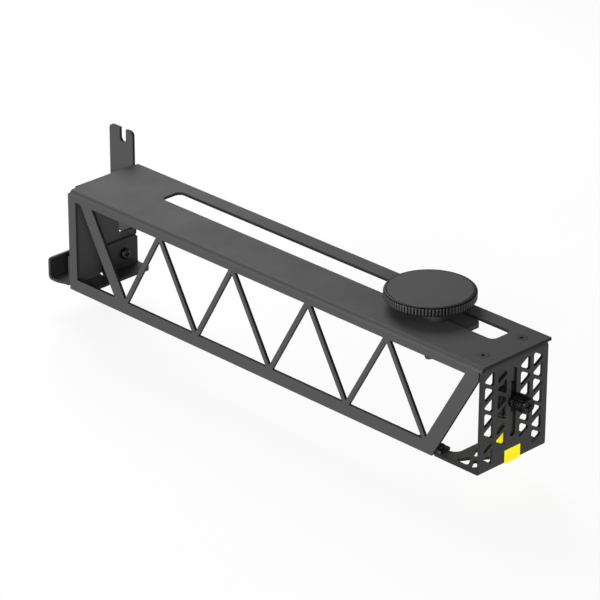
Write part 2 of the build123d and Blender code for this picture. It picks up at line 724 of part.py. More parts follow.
def make_pad():
    """The soft pad that bears on the card."""
    pad = rod(0, 0, puck_top + pad_proud - pad_sheet, pad_radius, pad_sheet)
    pad = chamfer(pad.edges().filter_by(GeomType.CIRCLE).group_by(Axis.Z)[-1], 0.3)
    return Pos(carriage_x, slot_centre_y, 0) * pad


NODES = {
    "beam": make_beam,
    "hook_bracket": make_hook,
    "clamp_plate": make_clamp_plate,
    "hook_screw": make_hook_screw,
    "hook_nut": make_hook_nut,
    "end_bracket": make_end_bracket,
    "bracket_screws": make_bracket_screws,
    "clinch_nuts": make_clinch_nuts,
    "arm_screw": make_arm_screw,
    "leg": make_leg,
    "leg_foot": make_foot,
    "leg_guide": make_guide,
    "leg_nut": make_leg_nut,
    "thumb_washer": make_washer,
    "thumbscrew": make_thumbscrew,
    "glide_sheet": make_glide,
    "carriage": make_carriage,
    "clamp_bar": make_clamp_bar,
    "carriage_screws": make_carriage_screws,
    "threaded_insert": make_insert,
    "lift_stud": make_stud,
    "puck": make_puck,
    "pad_plate": make_pad_plate,
    "pad": make_pad,
}

to_origin = Pos(-notch_x, -slot_screw_y, -slot_screw_z)
for name, maker in NODES.items():
    shape = to_origin * maker()
    export_step(shape, f"parts/{name}.step")
    solids = shape.solids()
    print(f"{name:16s} solids {len(solids)} volume {sum(s.volume for s in solids):.1f} mm3")
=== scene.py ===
# %% [markdown]
# # A support bracket for a graphics card
#
# The real thing is a long beam folded from one steel sheet. A knurled puck slides along the slot in its
# top and screws up under the card, and a perforated bracket with a sliding leg closes the far end.
# The CAD model already holds every sheet, screw and hole at its real size, so this scene keeps those
# meshes and gives them their finishes. It works out as surfaces only the pieces whose form is finer
# than the CAD's: the knurled puck, its pad, the threaded stud, two screws, the fluted knob and the shoe.

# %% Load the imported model
import json
import math

import bmesh
import bpy
import numpy as np
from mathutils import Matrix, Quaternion, Vector


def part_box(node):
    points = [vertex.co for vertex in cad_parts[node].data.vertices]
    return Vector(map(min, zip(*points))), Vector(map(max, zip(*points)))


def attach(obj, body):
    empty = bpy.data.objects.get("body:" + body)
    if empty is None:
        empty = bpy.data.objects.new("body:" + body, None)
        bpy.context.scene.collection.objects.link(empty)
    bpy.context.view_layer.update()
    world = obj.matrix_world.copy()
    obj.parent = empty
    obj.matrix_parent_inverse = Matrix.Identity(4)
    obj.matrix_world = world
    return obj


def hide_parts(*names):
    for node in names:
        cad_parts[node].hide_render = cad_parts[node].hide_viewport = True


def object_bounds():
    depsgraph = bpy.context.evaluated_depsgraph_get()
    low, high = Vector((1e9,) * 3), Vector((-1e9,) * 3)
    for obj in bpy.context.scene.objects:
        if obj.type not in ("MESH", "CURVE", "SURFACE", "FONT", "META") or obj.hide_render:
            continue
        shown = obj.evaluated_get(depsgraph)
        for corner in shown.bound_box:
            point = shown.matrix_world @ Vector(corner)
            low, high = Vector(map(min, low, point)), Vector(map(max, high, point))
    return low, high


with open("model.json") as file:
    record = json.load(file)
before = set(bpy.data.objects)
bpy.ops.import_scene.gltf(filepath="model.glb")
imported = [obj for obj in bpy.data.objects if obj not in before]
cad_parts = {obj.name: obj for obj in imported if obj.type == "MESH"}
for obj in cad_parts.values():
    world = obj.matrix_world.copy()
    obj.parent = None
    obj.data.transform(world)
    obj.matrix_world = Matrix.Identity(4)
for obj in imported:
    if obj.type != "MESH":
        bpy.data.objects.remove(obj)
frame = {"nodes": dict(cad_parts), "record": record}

MM = 0.001
cad_box = [list(corner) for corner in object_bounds()]
nodes = frame["nodes"]
print("CAD box, mm", np.round(np.array(cad_box) / MM, 1).tolist())

# %% [markdown]
# ## Turned pieces from a profile
#
# Nearly every small piece here is round about an axis, as if turned on a lathe: puck, pad, stud, knob
# and screws. Such a piece is a profile of radii and heights that is carried round the axis. It could be
# a Spin or a Screw modifier, but a plain array is better here, because radius and height may then
# change with the angle as well, and that one change gives a knurl, a fluted grip, a screw thread or a
# cross recess.

# %% Carry a profile round an axis
TURNS = {"x": ((0, 1, 0), (0, 0, 1), (1, 0, 0)), "z": ((1, 0, 0), (0, 1, 0), (0, 0, 1))}


def turned(name, body, stands_for, radius, height, origin, direction="z"):
    """A closed lathe piece. point = origin + radius cos(angle) e1 + radius sin(angle) e2 + height e3.

    radius and height are arrays of rings x angles. The first ring is the start of the profile at the
    axis and the last one its end, so both close on a single point. e3 is the direction."""
    count = radius.shape[1]
    angle = np.linspace(0, 2 * np.pi, count, endpoint=False)
    e1, e2, e3 = (np.array(axis, float) for axis in TURNS[direction])
    ring = np.cos(angle)[None, :, None] * e1 + np.sin(angle)[None, :, None] * e2
    grid = np.array(origin) + radius[:, :, None] * ring + height[:, :, None] * e3
    inner = grid[1:-1].reshape(-1, 3)
    points = np.vstack([grid[0, :1], inner, grid[-1, :1]])
    here = np.arange(len(inner)).reshape(-1, count) + 1
    after = np.roll(here, -1, axis=1)
    quads = np.stack([here[:-1], after[:-1], after[1:], here[1:]], axis=-1).reshape(-1, 4)
    first = np.stack([np.zeros(count, int), after[0], here[0]], axis=-1)
    last = np.stack([np.full(count, len(points) - 1), here[-1], after[-1]], axis=-1)
    mesh = bpy.data.meshes.new(name)
    mesh.from_pydata(points.tolist(), [], quads.tolist() + first.tolist() + last.tolist())
    mesh.shade_smooth()
    piece = bpy.data.objects.new(name, mesh)
    bpy.context.scene.collection.objects.link(piece)
    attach(piece, body)
    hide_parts(stands_for)
    print(f"{name}: {len(points)} points, {len(quads)} quads")
    return piece


RUN_SHARE = 0.45
SUPPORT_SHARE = 0.08


def rounded_profile(corners, steps=4):
    """A profile through (radius, height, rounding) corners, each rounded by a curve of `steps` points.

    The curve is (1-t)^2 a + 2t(1-t) corner + t^2 b, between points a and b on the two runs. A support
    point just outside each end keeps the flat runs flat in the smooth shading. A corner whose rounding
    is 0 stays a plain point."""
    corners = np.array(corners, float)
    rows = [corners[0, :2]]
    for before, corner, following in zip(corners[:-2], corners[1:-1], corners[2:]):
        if corner[2] == 0:
            rows.append(corner[:2])
            continue
        back = before[:2] - corner[:2]
        on = following[:2] - corner[:2]
        reach = min(corner[2], np.linalg.norm(back) * RUN_SHARE, np.linalg.norm(on) * RUN_SHARE)
        a = corner[:2] + back / np.linalg.norm(back) * reach
        b = corner[:2] + on / np.linalg.norm(on) * reach
        t = np.linspace(0, 1, steps)[:, None]
        curve = (1 - t) ** 2 * a + 2 * t * (1 - t) * corner[:2] + t ** 2 * b
        support = SUPPORT_SHARE * reach
        rows += [a + back / np.linalg.norm(back) * support, *curve, b + on / np.linalg.norm(on) * support]
    rows.append(corners[-1, :2])
    return np.array(rows)


def round_piece(profile, columns):
    """The profile's radii and heights, repeated for each angle."""
    radius = np.repeat(profile[:, :1], columns, axis=1)
    height = np.repeat(profile[:, 1:], columns, axis=1)
    return radius, height


# %% [markdown]
# ## The knurled puck
#
# The puck is a flat disc with straight ribs pressed into its rim, so that two fingers can turn it. The
# ribs could be cut one by one, but a wave along the angle does them all: the radius falls by the rib's
# depth between two ribs, and only on the band between the two bevelled edges. A number on each point
# says how far it lies on a rib's top. The finish paints the tops light there, a painted highlight, and
# makes them metallic.

# %% Knurl the rim
def smooth(edge0, edge1, value):
    """0 below edge0, 1 above edge1, and 3t^2 - 2t^3 between them."""
    t = np.clip((value - edge0) / (edge1 - edge0), 0, 1)
    return t * t * (3 - 2 * t)


puck_low, puck_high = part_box("puck")
pad_low, pad_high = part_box("pad")
centre_x, centre_y = (puck_low[0] + puck_high[0]) / 2, (puck_low[1] + puck_high[1]) / 2
puck_radius = (puck_high[0] - puck_low[0]) / 2
puck_height = puck_high[2] - puck_low[2]
pad_radius = (pad_high[0] - pad_low[0]) / 2
RIBS = 84
RIB_SAMPLES = 10
RIB_DEPTH = 0.42 * MM
BEVEL = 0.55 * MM
PAD_GAP = 0.12 * MM
PLATE_ROOM = 0.8 * MM

recess_floor = pad_low[2] - puck_low[2] - PLATE_ROOM
puck_profile = rounded_profile([
    (0, 0, 0), (puck_radius - BEVEL * 1.6, 0, 0.1 * MM), (puck_radius, BEVEL, 0.25 * MM),
    (puck_radius, puck_height - BEVEL, 0.25 * MM),
    (puck_radius - BEVEL, puck_height, 0.25 * MM), (pad_radius + PAD_GAP, puck_height, 0.15 * MM),
    (pad_radius + PAD_GAP, recess_floor, 0.1 * MM), (0, recess_floor, 0)])
radius, height = round_piece(puck_profile, RIBS * RIB_SAMPLES)
angle = np.linspace(0, 2 * np.pi, RIBS * RIB_SAMPLES, endpoint=False)[None, :]
valley = smooth(0.25, 0.75, 0.5 - 0.5 * np.cos(RIBS * angle))
on_rim = smooth(puck_radius - BEVEL, puck_radius - BEVEL * 0.3, radius)
band = smooth(0, BEVEL, height) * (1 - smooth(puck_height - BEVEL * 1.2, puck_height - BEVEL * 0.7, height))
radius = radius - RIB_DEPTH * valley * on_rim * band
puck = turned("knurled_puck", "lifting_puck", "puck", radius, height, (centre_x, centre_y, puck_low[2]))
lands = np.concatenate([[0.0], ((1 - valley) * on_rim * band)[1:-1].ravel(), [0.0]])
puck.data.attributes.new("land", "FLOAT", "POINT").data.foreach_set("value", lands)
print("points on lands", int((lands > 0.5).sum()))

# %% [markdown]
# ## The pad
#
# A soft disc is glued to a plate in the puck's recess. It stands 0.3 mm proud, so that rubber and not
# metal touches the card, and its edge is rounded by the moulding. It is a plain profile that is carried
# round without any change with the angle.

# %% Mould the pad
PAD_COLUMNS = 180
pad_height = pad_high[2] - pad_low[2]
pad_profile = rounded_profile([
    (0, 0, 0), (pad_radius, 0, 0.1 * MM), (pad_radius, pad_height, 0.3 * MM), (0, pad_height, 0)], steps=6)
radius, height = round_piece(pad_profile, PAD_COLUMNS)
pad = turned("rubber_pad", "riser", "pad", radius, height, (centre_x, centre_y, pad_low[2]))

# %% [markdown]
# ## The threaded stud and the screws
#
# A thread is a wave along the height whose phase turns once with the angle. The radius goes from root to
# crest and back in one pitch. The cross recess in a screw's head is a height field: the head's
# height falls steeply wherever the point lies within one of the two bars of the cross.

# %% Cut a thread
STUD_PITCH, STUD_COLUMNS = 0.7 * MM, 28
M3_PITCH, M3_RADIUS = 0.5 * MM, 1.5 * MM
M2_PITCH, M2_RADIUS = 0.4 * MM, 1.0 * MM
THREAD_DEPTH = 0.55
END_ROOM = 0.05 * MM


def threaded(start, end, crest, pitch, columns, per_turn=8):
    """Rings of a threaded shank. radius = crest - depth * wave(height / pitch - angle / 2 pi).

    Over the first pitch the crest rises out of the root, which makes the chamfer of the shank's tip."""
    rings = int((end - start) / pitch * per_turn) + 1
    height = np.linspace(start, end, rings)[:, None] + np.zeros((1, columns))
    turn = np.linspace(0, 1, columns, endpoint=False)[None, :]
    phase = (height / pitch - turn) % 1.0
    wave = smooth(0.1, 0.5, np.abs(phase - 0.5))
    depth = pitch * THREAD_DEPTH
    lead = smooth(0, pitch, height - start)
    return crest - depth * np.maximum(wave, (1 - lead)), height


stud_low, stud_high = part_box("lift_stud")
stud_radius = (stud_high[0] - stud_low[0]) / 2
stud_length = stud_high[2] - stud_low[2]
radius, height = threaded(0, stud_length - END_ROOM, stud_radius, STUD_PITCH, STUD_COLUMNS)
ends = np.zeros((1, STUD_COLUMNS))
radius = np.vstack([ends, radius, ends])
height = np.vstack([ends, height, ends + stud_length])
stud = turned("threaded_stud", "lifting_puck", "lift_stud", radius, height,
              (centre_x, centre_y, stud_low[2]))

# %% Sink a cross into a turned head
CROSS_STEPS = 22
CROSS_COLUMNS = 96


def cross_depth(across, up, reach, half_width):
    """1 inside a cross of two bars and 0 outside, with sloping walls."""
    far = np.maximum(np.abs(across), np.abs(up))
    near = np.minimum(np.abs(across), np.abs(up))
    return (1 - smooth(half_width * 0.7, half_width * 1.25, near)) * (1 - smooth(reach * 0.85, reach, far))


def cross_face(edge_radius, recess, columns):
    """Rings from a head's edge to its axis, and how deep the cross is at each of their points.

    recess is (reach, half width, depth)."""
    reach, half_width, depth = recess
    step = np.linspace(1, 0, CROSS_STEPS + 1)[1:, None]
    rings = np.repeat(edge_radius * step, columns, axis=1)
    angle = np.linspace(0, 2 * np.pi, columns, endpoint=False)[None, :]
    return rings, depth * cross_depth(rings * np.cos(angle), rings * np.sin(angle), reach, half_width)


def cross_screw(name, body, node, origin, direction, shank, thread, head_profile, recess):
    """A threaded shank below height 0, a head that follows head_profile, and a cross in its face.

    thread is (radius, pitch)."""
    shank_rings, shank_heights = threaded(-shank, -END_ROOM, *thread, CROSS_COLUMNS)
    head_rings, head_heights = round_piece(rounded_profile(head_profile, steps=6), CROSS_COLUMNS)
    face_rings, sunk = cross_face(head_rings[-1, 0], recess, CROSS_COLUMNS)
    tip = np.zeros((1, CROSS_COLUMNS))
    radius = np.vstack([tip, shank_rings, head_rings, face_rings])
    height = np.vstack([tip - shank, shank_heights, head_heights, head_heights[-1, 0] - sunk])
    return turned(name, body, node, radius, height, origin, direction)


def domed_head(shank_radius, head_radius, head_height, shoulder, side_rounding, top_rounding):
    """A head's profile: flat below, straight up to the shoulder, then domed to a small flat face."""
    return [(shank_radius, 0, 0), (head_radius, 0, 0.1 * MM),
            (head_radius, head_height * shoulder, side_rounding),
            (head_radius * 0.7, head_height, top_rounding), (head_radius * 0.62, head_height, 0)]


# %% Turn the pan-head hook screw
low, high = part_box("hook_screw")
pan_radius = (high[1] - low[1]) / 2
pan_height = 1.9 * MM
pan_foot = high[0] - pan_height
hook_screw = cross_screw(
    "pan_screw", "frame", "hook_screw", (pan_foot, (low[1] + high[1]) / 2, (low[2] + high[2]) / 2), "x",
    pan_foot - low[0], (M3_RADIUS, M3_PITCH),
    domed_head(M3_RADIUS, pan_radius, pan_height, 0.75, 0.7 * MM, 0.5 * MM),
    (pan_radius * 0.52, 0.38 * MM, 1.0 * MM))

# %% Turn the small screw of the arm
low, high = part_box("arm_screw")
small_radius = (high[0] - low[0]) / 2
small_height = 2.0 * MM
small_foot = high[2] - small_height
arm_screw = cross_screw(
    "small_screw", "frame", "arm_screw", ((low[0] + high[0]) / 2, (low[1] + high[1]) / 2, small_foot), "z",
    small_foot - low[2], (M2_RADIUS, M2_PITCH),
    domed_head(M2_RADIUS, small_radius, small_height, 0.8, 0.6 * MM, 0.4 * MM),
    (small_radius * 0.55, 0.28 * MM, 0.8 * MM))

# %% [markdown]
# ## The fluted knob
#
# The thumbscrew holds the leg. Its grip is the same lathe piece with sixteen round flutes, which fade out
# before both ends, and a raised ring round the cross in its face. The long side gets rings of its own,
# because a flute can only fade where the mesh has points to move.

# %% Flute the knob
FLUTES = 16
FLUTE_DEPTH = 0.32 * MM
KNOB_LENGTH = 7.9 * MM
KNOB_BEVEL = 0.5 * MM
KNOB_CROSS = (2.0 * MM, 0.45 * MM, 1.0 * MM)
SIDE_RINGS, SIDE_MARGIN = 14, 0.9 * MM
RING_STEP = 0.25 * MM
FOOT_FADE = (0.7 * MM, 1.5 * MM)
FACE_FADE = (0.8 * MM, 1.5 * MM)
low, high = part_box("thumbscrew")
knob_radius = (high[1] - low[1]) / 2
face = high[0] - low[0]
start = face - KNOB_LENGTH
columns = FLUTES * 12
shank_rings, shank_heights = threaded(0, start - END_ROOM, M3_RADIUS, M3_PITCH, columns)
foot_corners = [(M3_RADIUS, start, 0), (knob_radius - KNOB_BEVEL, start, 0.1 * MM),
                (knob_radius, start + KNOB_BEVEL, 0.2 * MM)]
side_heights = np.linspace(start + SIDE_MARGIN, face - SIDE_MARGIN, SIDE_RINGS)
side_points = [(knob_radius, at, 0) for at in side_heights]
face_corners = [(knob_radius, face - KNOB_BEVEL, 0.2 * MM), (knob_radius - KNOB_BEVEL, face, 0.15 * MM),
                (knob_radius * 0.72, face, 0.2 * MM), (knob_radius * 0.66, face - RING_STEP, 0.15 * MM),
                (knob_radius * 0.6, face - RING_STEP, 0)]
grip = rounded_profile(foot_corners + side_points + face_corners, steps=5)
grip_rings, grip_heights = round_piece(grip, columns)
angle = np.linspace(0, 2 * np.pi, columns, endpoint=False)[None, :]
flute = smooth(0.55, 1.0, 0.5 + 0.5 * np.cos(FLUTES * angle))
rise = smooth(start + FOOT_FADE[0], start + FOOT_FADE[1], grip_heights)
fall = 1 - smooth(face - FACE_FADE[1], face - FACE_FADE[0], grip_heights)
on_side = grip_rings > knob_radius * 0.95
grip_rings = grip_rings - FLUTE_DEPTH * flute * rise * fall * on_side
face_rings, sunk = cross_face(grip_rings[-1, 0], KNOB_CROSS, columns)
tip = np.zeros((1, columns))
radius = np.vstack([tip, shank_rings, grip_rings, face_rings])
height = np.vstack([tip, shank_heights, grip_heights, grip_heights[-1, 0] - sunk])
knob_origin = (low[0], (low[1] + high[1]) / 2, (low[2] + high[2]) / 2)
knob = turned("fluted_knob", "knob", "thumbscrew", radius, height, knob_origin, "x")

# %% [markdown]
# ## The moulded shoe
#
# The sliding leg ends in a bright plastic shoe. It is a U that clips over the strip from below, with a
# toe that reaches out through the notch in the end bracket. Boxes joined by a Boolean could make it, but
# here its side outline is carried across the leg, and the outline changes at a few stations: a tall
# front cheek first, then a low lip, then the toe, then the lip again. Two stations at the same place make
# a clean step, doubled points are merged afterwards, and a small bevel rounds the edges as a mould does.

# %% Mould the shoe
SHOE_WALL = 1.2 * MM
SHOE_TOP = 14.0 * MM
SHOE_CHEEK = 3.8 * MM
SHOE_MARGIN = 0.8 * MM
SHOE_BEVEL = 0.25 * MM
NOTCH_MIDDLE = -23.1 * MM
TOE_HALF = 4.95 * MM
TOE_HEIGHT = 6.6 * MM
MERGE = 0.01 * MM
foot_low, foot_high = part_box("leg_foot")
leg_low, leg_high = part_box("leg")


def shoe_outline(front, front_top):
    """The U seen from the side: back wall, floor and a front wall whose face and top are given."""
    back, inside_back, inside_front = foot_low[0], leg_low[0], leg_high[0]
    floor_top, back_top = foot_low[2] + SHOE_WALL, foot_low[2] + SHOE_TOP
    top = foot_low[2] + front_top
    return [(back, foot_low[2]), (front, foot_low[2]), (front, top), (inside_front, top),
            (inside_front, floor_top), (inside_back, floor_top), (inside_back, back_top), (back, back_top)]


left, right = leg_low[1] + SHOE_MARGIN, leg_high[1] - SHOE_MARGIN
cheek_end = left + SHOE_CHEEK
low_front, toe_front = leg_high[0] + SHOE_WALL, foot_high[0]
cheek = shoe_outline(low_front, SHOE_TOP)
lip = shoe_outline(low_front, TOE_HEIGHT)
toe = shoe_outline(toe_front, TOE_HEIGHT)
toe_start, toe_end = NOTCH_MIDDLE - TOE_HALF, NOTCH_MIDDLE + TOE_HALF
stations = [(left, cheek), (cheek_end, cheek), (cheek_end, lip), (toe_start, lip),
            (toe_start, toe), (toe_end, toe), (toe_end, lip), (right, lip)]
rings_of_points = np.array([[(x, y, z) for x, z in outline] for y, outline in stations])
corners = rings_of_points.shape[1]
here = np.arange(len(stations) * corners).reshape(len(stations), corners)
after = np.roll(here, -1, axis=1)
walls = np.stack([here[:-1], here[1:], after[1:], after[:-1]], axis=-1).reshape(-1, 4)
shoe_mesh = bpy.data.meshes.new("moulded_shoe")
shoe_mesh.from_pydata(rings_of_points.reshape(-1, 3).tolist(), [],
                      walls.tolist() + [here[0].tolist(), here[-1, ::-1].tolist()])
cleaned = bmesh.new()
cleaned.from_mesh(shoe_mesh)
bmesh.ops.remove_doubles(cleaned, verts=cleaned.verts, dist=MERGE)
bmesh.ops.dissolve_degenerate(cleaned, edges=cleaned.edges, dist=MERGE)
bmesh.ops.recalc_face_normals(cleaned, faces=cleaned.faces)
print("shoe volume, mm3", round(cleaned.calc_volume(signed=True) / MM ** 3, 1), "open edges",
      sum(not edge.is_manifold for edge in cleaned.edges))
cleaned.to_mesh(shoe_mesh)
cleaned.free()
shoe = bpy.data.objects.new("moulded_shoe", shoe_mesh)
bpy.context.scene.collection.objects.link(shoe)
soft_edge = shoe.modifiers.new("moulded edge", "BEVEL")
soft_edge.width, soft_edge.segments, soft_edge.limit_method = SHOE_BEVEL, 2, "ANGLE"
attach(shoe, "far_leg")
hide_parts("leg_foot")

# %% [markdown]
# ## Effects that several finishes share
#
# Each effect is a node group with named inputs and outputs. Powder grain is the fine texture of a coat
# that was baked from dust. The edge effect finds the edges by comparing the true normal with a rounded
# one; most finishes give them wear, the knob a painted highlight and the countersunk heads a ring of
# painted shade. Broad face says whether a point lies on the flat of one sheet of a folded piece. Lathe
# rings are the marks that a cutting tool leaves round an axis.

# %% Build node trees in a few words
COLUMN, ROW = 200, 180


def add(tree, kind, place, settings=None, **inputs):
    """A node of that kind, with its settings made and its inputs set or linked.

    An input is named as its socket, with _ for a space, or i and the socket's number."""
    made = tree.nodes.new(kind)
    made.location = (place[0] * COLUMN, -place[1] * ROW)
    for key, value in (settings or {}).items():
        setattr(made, key, value)
    for key, value in inputs.items():
        socket = made.inputs[int(key[1:]) if key[0] == "i" and key[1:].isdigit() else key.replace("_", " ")]
        if isinstance(value, bpy.types.NodeSocket):
            tree.links.new(value, socket)
        else:
            socket.default_value = value
    return made


def effect(name, inputs, outputs):
    """An empty shader group with float inputs {name: default} and outputs {name: socket type}."""
    tree = bpy.data.node_groups.new(name, "ShaderNodeTree")
    for title, default in inputs.items():
        socket = tree.interface.new_socket(title, in_out="INPUT", socket_type="NodeSocketFloat")
        socket.default_value = default
    for title, kind in outputs.items():
        tree.interface.new_socket(title, in_out="OUTPUT", socket_type=kind)
    return tree, tree.nodes.new("NodeGroupInput").outputs, tree.nodes.new("NodeGroupOutput").inputs


def place_effect(tree, group, place, **inputs):
    """The group as a node in a material's tree."""
    return add(tree, "ShaderNodeGroup", place, {"node_tree": group}, **inputs).outputs


# %% Powder grain
FLOAT, VECTOR = "NodeSocketFloat", "NodeSocketVector"
NOISE_LOW, NOISE_HIGH = 0.3, 0.7
powder, given, gives = effect(
    "powder grain", {"Grain": 5200.0, "Peel": 900.0, "Mottle": 45.0},
    {"Shade": FLOAT, "Roughness": FLOAT, "Height": FLOAT})
spot = add(powder, "ShaderNodeTexCoord", (0, 0)).outputs["Object"]
grain = add(powder, "ShaderNodeTexNoise", (1, 0), Vector=spot, Scale=given["Grain"], Detail=2.0)
peel = add(powder, "ShaderNodeTexNoise", (1, 1), Vector=spot, Scale=given["Peel"], Detail=3.0)
mottle = add(powder, "ShaderNodeTexNoise", (1, 2), Vector=spot, Scale=given["Mottle"], Detail=4.0,
             Roughness=0.6)
mixed = add(powder, "ShaderNodeMix", (2, 0), {"data_type": "FLOAT"}, Factor=0.45,
            i2=grain.outputs[0], i3=peel.outputs[0])
powder.links.new(mixed.outputs[0], gives["Height"])
shade = add(powder, "ShaderNodeMapRange", (2, 1), Value=mottle.outputs[0], From_Min=NOISE_LOW,
            From_Max=NOISE_HIGH, To_Min=0.93, To_Max=1.07)
speck = add(powder, "ShaderNodeMapRange", (2, 2), Value=grain.outputs[0], From_Min=NOISE_LOW,
            From_Max=NOISE_HIGH, To_Min=0.94, To_Max=1.06)
product = add(powder, "ShaderNodeMath", (3, 1), {"operation": "MULTIPLY"}, i0=shade.outputs[0],
              i1=speck.outputs[0])
powder.links.new(product.outputs[0], gives["Shade"])
dull = add(powder, "ShaderNodeMapRange", (3, 2), Value=mottle.outputs[0], From_Min=NOISE_LOW,
           From_Max=NOISE_HIGH, To_Min=-0.05, To_Max=0.05)
powder.links.new(dull.outputs[0], gives["Roughness"])
print("group", powder.name, "nodes", len(powder.nodes))

# %% Edges for wear and painted light
EDGE_STARTS, EDGE_FULL = 0.995, 0.90
BREAK_LOW, BREAK_HIGH = 0.42, 0.62
edge_wear_and_light, given, gives = effect(
    "edge wear and light", {"Width": 0.0003, "Breakup": 700.0}, {"Mask": FLOAT, "Soft Normal": VECTOR})
rounded = add(edge_wear_and_light, "ShaderNodeBevel", (1, 0), {"samples": 4}, Radius=given["Width"])
plain = add(edge_wear_and_light, "ShaderNodeNewGeometry", (1, 1))
likeness = add(edge_wear_and_light, "ShaderNodeVectorMath", (2, 0), {"operation": "DOT_PRODUCT"},
               i0=rounded.outputs[0], i1=plain.outputs["Normal"])
edge = add(edge_wear_and_light, "ShaderNodeMapRange", (3, 0), Value=likeness.outputs["Value"], From_Min=EDGE_STARTS,
           From_Max=EDGE_FULL, To_Min=0.0, To_Max=1.0)
spot = add(edge_wear_and_light, "ShaderNodeTexCoord", (1, 2)).outputs["Object"]
patches = add(edge_wear_and_light, "ShaderNodeTexNoise", (2, 2), Vector=spot, Scale=given["Breakup"], Detail=3.0)
broken = add(edge_wear_and_light, "ShaderNodeMapRange", (3, 2), Value=patches.outputs[0], From_Min=BREAK_LOW,
             From_Max=BREAK_HIGH)
mask = add(edge_wear_and_light, "ShaderNodeMath", (4, 1), {"operation": "MULTIPLY"}, i0=edge.outputs[0],
           i1=broken.outputs[0])
edge_wear_and_light.links.new(mask.outputs[0], gives["Mask"])
edge_wear_and_light.links.new(rounded.outputs[0], gives["Soft Normal"])
print("group", edge_wear_and_light.name, "nodes", len(edge_wear_and_light.nodes))

# %% Broad face of a sheet
SQUARE_ON = 0.6
broad, given, gives = effect(
    "broad face", {"Place": 0.0, "Facing": 0.0, "Face": 0.0, "Half": 0.001}, {"Broad": FLOAT})
offset = add(broad, "ShaderNodeMath", (1, 0), {"operation": "SUBTRACT"}, i0=given["Place"], i1=given["Face"])
near = add(broad, "ShaderNodeMath", (2, 0), {"operation": "ABSOLUTE"}, i0=offset.outputs[0])
inside = add(broad, "ShaderNodeMath", (3, 0), {"operation": "LESS_THAN"}, i0=near.outputs[0],
             i1=given["Half"])
upright = add(broad, "ShaderNodeMath", (2, 1), {"operation": "ABSOLUTE"}, i0=given["Facing"])
square_on = add(broad, "ShaderNodeMath", (3, 1), {"operation": "GREATER_THAN"}, i0=upright.outputs[0],
                i1=SQUARE_ON)
both = add(broad, "ShaderNodeMath", (4, 0), {"operation": "MULTIPLY"}, i0=inside.outputs[0],
           i1=square_on.outputs[0])
broad.links.new(both.outputs[0], gives["Broad"])
print("group", broad.name, "nodes", len(broad.nodes))

# %% Lathe rings
rings, given, gives = effect(
    "lathe rings", {"Centre X": 0.0, "Centre Y": 0.0, "Spacing": 0.00018}, {"Height": FLOAT, "Shade": FLOAT})
spot = add(rings, "ShaderNodeTexCoord", (0, 0)).outputs["Object"]
centre = add(rings, "ShaderNodeCombineXYZ", (0, 1), X=given["Centre X"], Y=given["Centre Y"])
offset = add(rings, "ShaderNodeVectorMath", (1, 0), {"operation": "SUBTRACT"}, i0=spot, i1=centre.outputs[0])
flat = add(rings, "ShaderNodeVectorMath", (2, 0), {"operation": "MULTIPLY"}, i0=offset.outputs[0],
           i1=(1, 1, 0))
reach = add(rings, "ShaderNodeVectorMath", (3, 0), {"operation": "LENGTH"}, i0=flat.outputs[0])
count = add(rings, "ShaderNodeMath", (4, 0), {"operation": "DIVIDE"}, i0=reach.outputs["Value"],
            i1=given["Spacing"])
pattern = add(rings, "ShaderNodeTexNoise", (5, 0), {"noise_dimensions": "1D"}, W=count.outputs[0], Scale=1.0,
              Detail=2.0)
rings.links.new(pattern.outputs[0], gives["Height"])
tone = add(rings, "ShaderNodeMapRange", (6, 0), Value=pattern.outputs[0], From_Min=NOISE_LOW,
           From_Max=NOISE_HIGH, To_Min=0.9, To_Max=1.1)
rings.links.new(tone.outputs[0], gives["Shade"])
print("group", rings.name, "nodes", len(rings.nodes))

# %% [markdown]
# ## The finishes
#
# The sheets wear a fine matte powder coat, nearly black. The puck is black, the tops of its ribs are
# metallic and painted light as a painted highlight, and its pad is grey. The shoe is a bright moulded
# plastic with a painted glow, because so strong a yellow would look dull in this low light. The small
# hardware is black, dark or zinc plated, and the bush in the carriage is brass. Colours are written as
# they look on a screen and turned to linear light.
#
# Where a sheet was cut, its narrow edge gets a painted shade, darker than its broad faces. It could be
# painted face by face, but a mask finds those edges by itself: a point is on a broad face if it lies
# within one of the sheet's thin slabs and its normal stands square on that slab, and anything else is a
# cut edge.

# %% Colours and the coat's parts
SHEET = 1.4 * MM
SLAB_ROOM = 0.3 * MM
DARKEST = 0.041


def screen(red, green=None, blue=None):
    """A colour of 0-255 screen levels as linear light, ((c + 0.055) / 1.055) ^ 2.4.

    One level alone makes a grey. Below DARKEST the formula doesn't hold, so no colour goes below it."""
    levels = [red, red if green is None else green, red if blue is None else blue]
    return tuple(((max(v / 255, DARKEST) + 0.055) / 1.055) ** 2.4 for v in levels) + (1.0,)


def cut_edges(tree, sheets):
    """1 on cut edges, 0 on broad faces. sheets lists (axis, middle of the sheet along it)."""
    spot = add(tree, "ShaderNodeTexCoord", (-9, 4))
    place = add(tree, "ShaderNodeSeparateXYZ", (-8, 4), i0=spot.outputs["Object"])
    facing = add(tree, "ShaderNodeSeparateXYZ", (-8, 5), i0=spot.outputs["Normal"])
    found = 0.0
    for step, (axis, middle) in enumerate(sheets):
        slab = place_effect(tree, broad, (-7, 4 + step), Place=place.outputs[axis],
                            Facing=facing.outputs[axis], Face=middle, Half=SHEET / 2 + SLAB_ROOM)
        found = add(tree, "ShaderNodeMath", (-6, 4 + step), {"operation": "MAXIMUM"}, i0=slab["Broad"],
                    i1=found).outputs[0]
    return add(tree, "ShaderNodeMath", (-5, 5), {"operation": "SUBTRACT"}, i0=1.0, i1=found).outputs[0]


